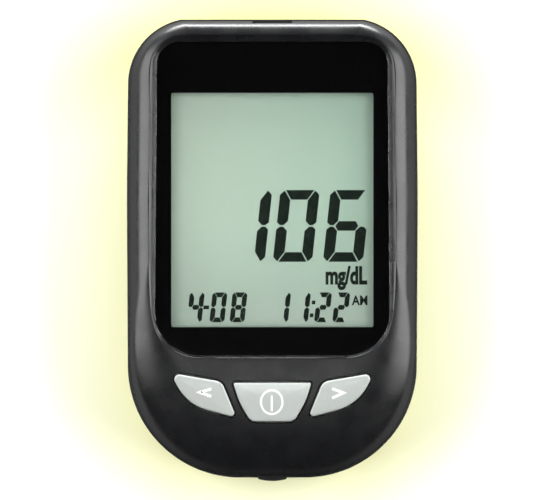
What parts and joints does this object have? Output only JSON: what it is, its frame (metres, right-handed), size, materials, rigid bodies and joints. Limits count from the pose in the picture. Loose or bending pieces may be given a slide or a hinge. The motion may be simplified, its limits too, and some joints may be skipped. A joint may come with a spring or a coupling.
{
  "type": "blood glucose meter",
  "caption": "Hand-held blood glucose meter with a large segment display, push keys below it, a test strip slot in the top end, a speaker and a sliding battery door on the back.",
  "frame": {"origin": "on the flat of the back that the meter lies on, in the middle of the outline (the lip of the port plug counts)", "axes": "+X to the right of the display, +Y towards the end with the test strip slot, +Z out of the display"},
  "size_m": [0.061, 0.0968, 0.026],
  "materials": {
    "charcoal_case": "satin",
    "black_case": "satin",
    "clear_lens": "polished",
    "mask_ink": "gloss",
    "dark_foam": "matte",
    "lcd_glass": "polished",
    "white_plastic": "satin",
    "diffuser": "satin",
    "zebra_rubber": "matte",
    "silver_key": "satin",
    "black_plastic": "satin",
    "switch_steel": "satin",
    "green_laminate": "satin",
    "plated_steel": "satin",
    "ceramic_tan": "matte",
    "contact_brass": "polished",
    "plug_rubber": "matte",
    "cone_film": "matte",
    "magnet_steel": "satin",
    "mesh_cloth": "matte",
    "lead_jacket": "satin",
    "cell_jacket": "satin",
    "screw_steel": "satin"
  },
  "bodies": {
    "meter": {"front_cover": "charcoal_case", "rear_cover": "black_case", "display_lens": "clear_lens", "lens_mask": "mask_ink", "lcd_gasket": "dark_foam", "lcd_front_glass": "lcd_glass", "lcd_rear_glass": "lcd_glass", "lcd_holder": "white_plastic", "lcd_backlight": "diffuser", "zebra_strip": "zebra_rubber", "key_switches": "switch_steel", "main_board": "green_laminate", "processor_chip": "black_plastic", "voice_chip": "black_plastic", "quartz_crystal": "plated_steel", "board_components": "ceramic_tan", "strip_guide": "black_plastic", "strip_connector": "white_plastic", "strip_contacts": "contact_brass", "data_port": "plated_steel", "data_port_tongue": "black_plastic", "speaker_frame": "plated_steel", "speaker_cone": "cone_film", "speaker_magnet": "magnet_steel", "speaker_gasket": "dark_foam", "speaker_mesh": "mesh_cloth", "speaker_leads": "lead_jacket", "battery_left": "cell_jacket", "battery_right": "cell_jacket", "battery_springs": "plated_steel", "bridge_contact": "plated_steel", "cell_contacts": "plated_steel", "case_screws": "screw_steel", "board_screws": "screw_steel"},
    "left_key_body": {"left_key": "silver_key", "left_switch_stem": "black_plastic"},
    "power_key_body": {"power_key": "silver_key", "power_switch_stem": "black_plastic"},
    "right_key_body": {"right_key": "silver_key", "right_switch_stem": "black_plastic"},
    "battery_door_body": {"battery_door": "black_case"},
    "port_plug_body": {"port_plug": "plug_rubber"}
  },
  "joints": [
    {"name": "left_key_press", "type": "slide", "parent": "meter", "child": "left_key_body", "axis": [0, 0, -1], "range_m": [0, 0.0005], "stiffness_N_per_m": 2000, "springref_m": -0.0001},
    {"name": "power_key_press", "type": "slide", "parent": "meter", "child": "power_key_body", "axis": [0, 0, -1], "range_m": [0, 0.0005], "stiffness_N_per_m": 2000, "springref_m": -0.0001},
    {"name": "right_key_press", "type": "slide", "parent": "meter", "child": "right_key_body", "axis": [0, 0, -1], "range_m": [0, 0.0005], "stiffness_N_per_m": 2000, "springref_m": -0.0001},
    {"name": "battery_door_slide", "type": "slide", "parent": "meter", "child": "battery_door_body", "axis": [0, -1, 0], "range_m": [0, 0.008]},
    {"name": "port_plug_pull", "type": "slide", "parent": "meter", "child": "port_plug_body", "axis": [0, -1, 0], "range_m": [0, 0.004]}
  ]
}
